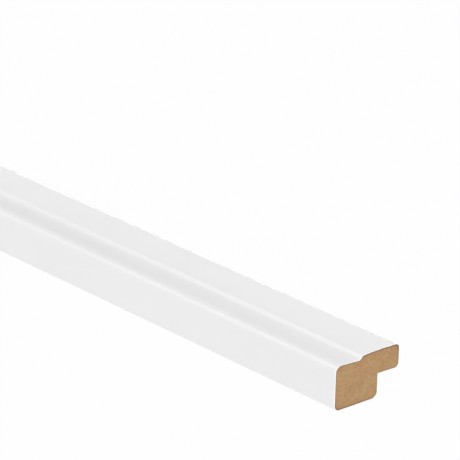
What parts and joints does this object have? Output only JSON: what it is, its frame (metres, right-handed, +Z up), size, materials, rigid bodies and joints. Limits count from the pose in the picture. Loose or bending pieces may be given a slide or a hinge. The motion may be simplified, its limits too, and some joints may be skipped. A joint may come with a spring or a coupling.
{
  "type": "rebated crown moulding length",
  "caption": "Straight length of rebated crown moulding in white coated MDF: rounded nose, stepped and slightly domed top, and a lip over an open rebate, cut square at both ends.",
  "frame": {"origin": "midway along the length and across the width, on the plane of the underside", "axes": "+X along the length towards the cut end that the picture shows, +Y from the front face towards the lip's end, +Z up from the underside to the domed top"},
  "size_m": [0.3, 0.034, 0.021],
  "materials": {
    "white_coated_mdf": "satin white coat on the long faces of machined MDF, bare brown MDF on the two sawn ends"
  },
  "bodies": {
    "root": {"moulding_length": "white_coated_mdf"}
  },
  "joints": []
}
